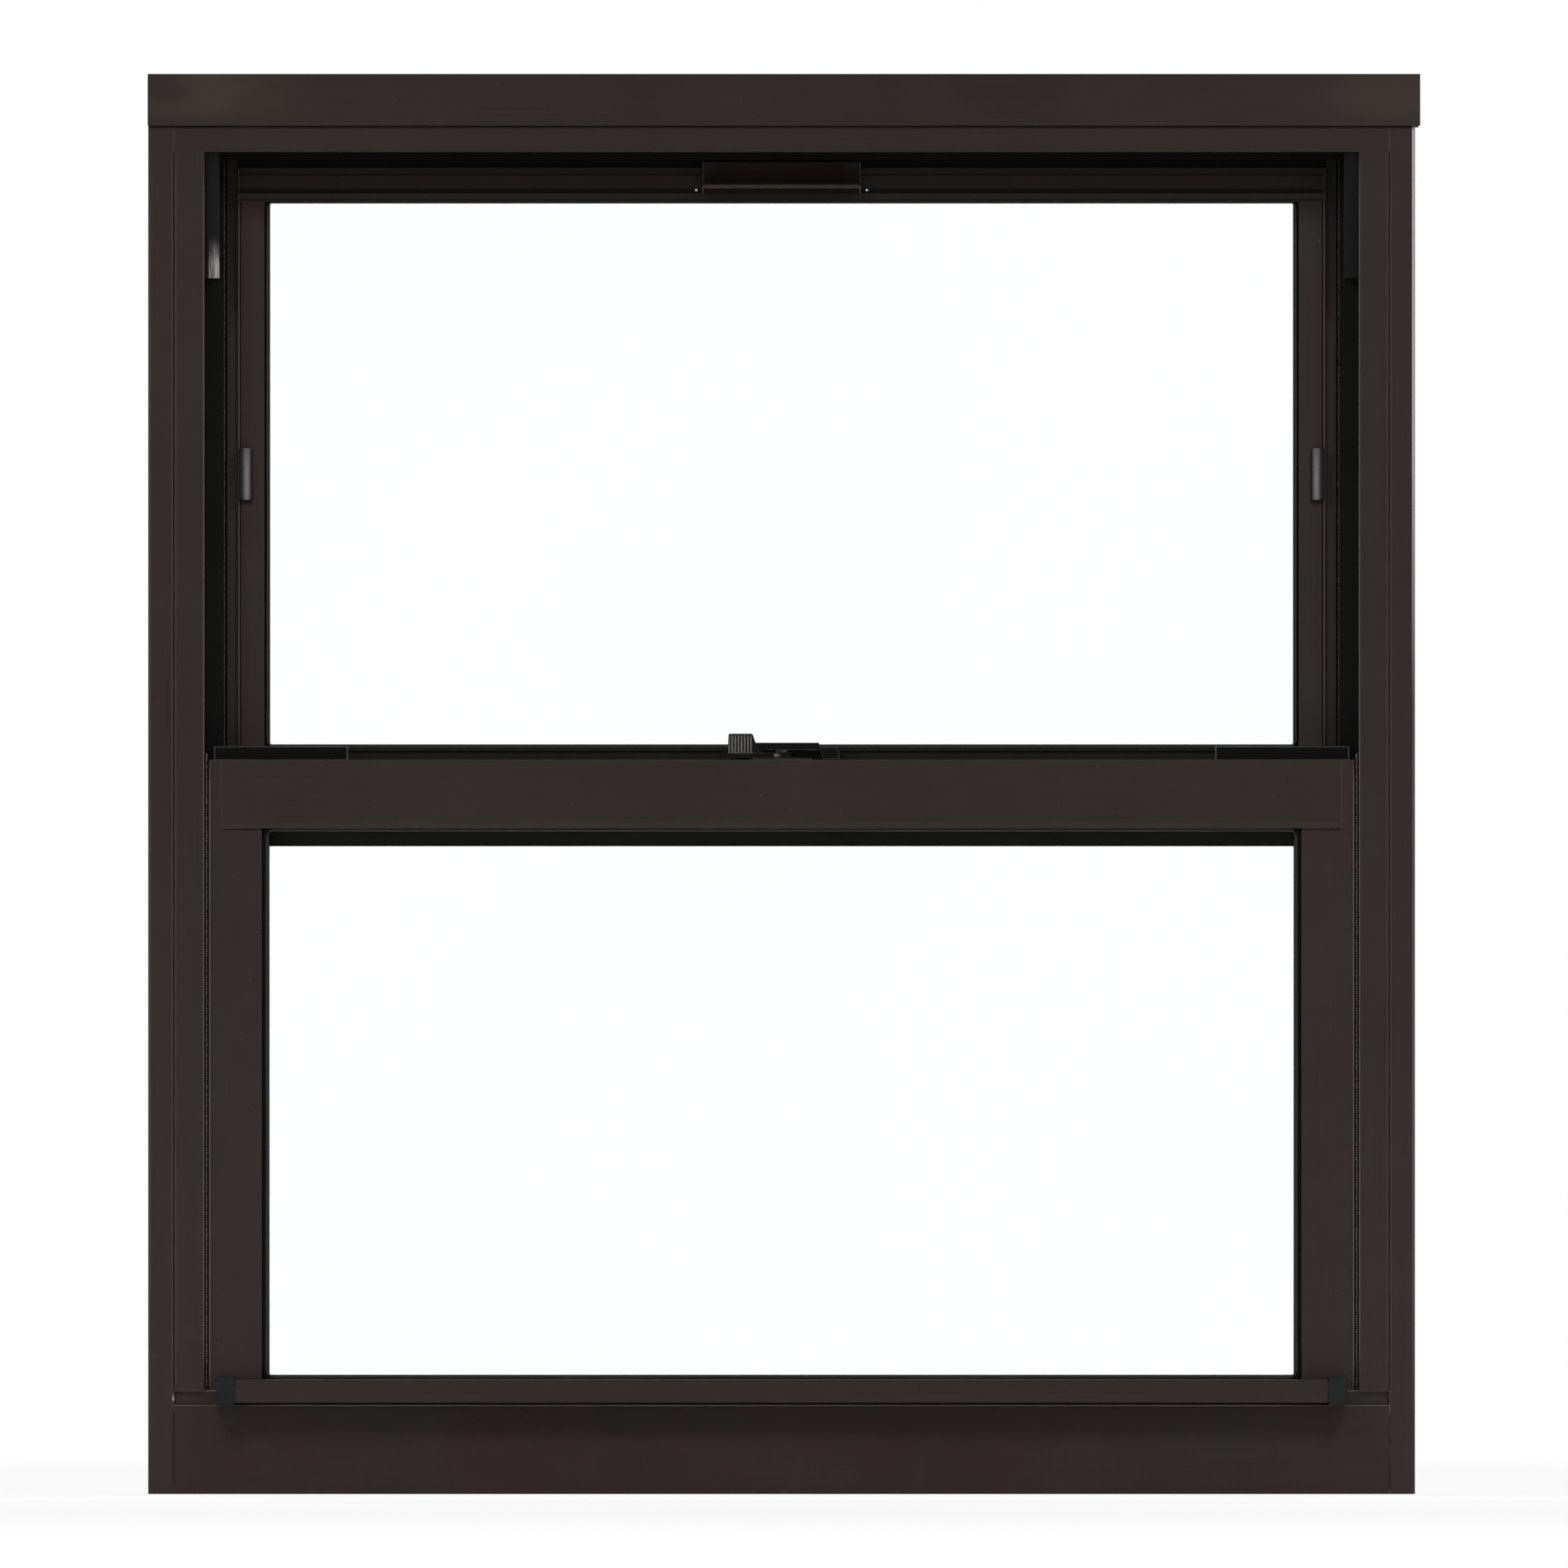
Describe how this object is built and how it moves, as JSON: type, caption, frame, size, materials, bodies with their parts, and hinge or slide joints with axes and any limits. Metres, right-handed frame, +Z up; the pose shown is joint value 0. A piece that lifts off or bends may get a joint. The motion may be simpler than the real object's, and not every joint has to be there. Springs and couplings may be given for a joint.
{
  "type": "double hung window",
  "caption": "Dark bronze aluminium double hung window, shut, seen from the room, with sash lock, tilt latches, vent stops, full-width lift bar and head receptor.",
  "frame": {"origin": "middle of the sill's underside, half way through the frame's depth", "axes": "+X right as seen from the room, +Y towards outdoors, +Z up"},
  "size_m": [0.914, 0.1259, 1.02],
  "materials": {
    "frame_bronze": "dark bronze anodised, satin",
    "sash_bronze": "dark bronze anodised, satin",
    "black_plastic": "satin",
    "lock_metal": "satin black",
    "gasket_rubber": "matt",
    "pile": "matt pile",
    "window_glass": "clear",
    "spacer_metal": "black, satin"
  },
  "bodies": {
    "window": {"head_receptor": "frame_bronze", "frame_head": "frame_bronze", "left_jamb": "frame_bronze", "right_jamb": "frame_bronze", "sill": "frame_bronze", "upper_left_stile": "sash_bronze", "upper_right_stile": "sash_bronze", "upper_top_rail": "sash_bronze", "upper_meeting_rail": "sash_bronze", "lower_left_stile": "sash_bronze", "lower_right_stile": "sash_bronze", "lower_meeting_rail": "sash_bronze", "lower_bottom_rail": "sash_bronze", "lift_bar": "sash_bronze", "upper_sash_pull": "sash_bronze", "left_jamb_liner": "black_plastic", "right_jamb_liner": "black_plastic", "left_sash_stop": "black_plastic", "right_sash_stop": "black_plastic", "left_lift_cap": "black_plastic", "right_lift_cap": "black_plastic", "left_tilt_latch": "black_plastic", "right_tilt_latch": "black_plastic", "left_vent_stop": "black_plastic", "right_vent_stop": "black_plastic", "left_balance_shoe": "black_plastic", "right_balance_shoe": "black_plastic", "lock_base": "lock_metal", "lock_keeper": "lock_metal", "upper_inner_gasket": "gasket_rubber", "upper_outer_gasket": "gasket_rubber", "lower_inner_gasket": "gasket_rubber", "lower_outer_gasket": "gasket_rubber", "left_pile_seals": "pile", "right_pile_seals": "pile", "upper_glass": "window_glass", "lower_glass": "window_glass", "upper_spacer": "spacer_metal", "lower_spacer": "spacer_metal"},
    "lock_lever": {"lock_lever": "lock_metal"}
  },
  "joints": [
    {"name": "lock_turn", "type": "hinge", "parent": "window", "child": "lock_lever", "pos_m": [0, -0.024, 0.5308], "axis": [0, 0, 1], "range_deg": [0, 180]}
  ]
}
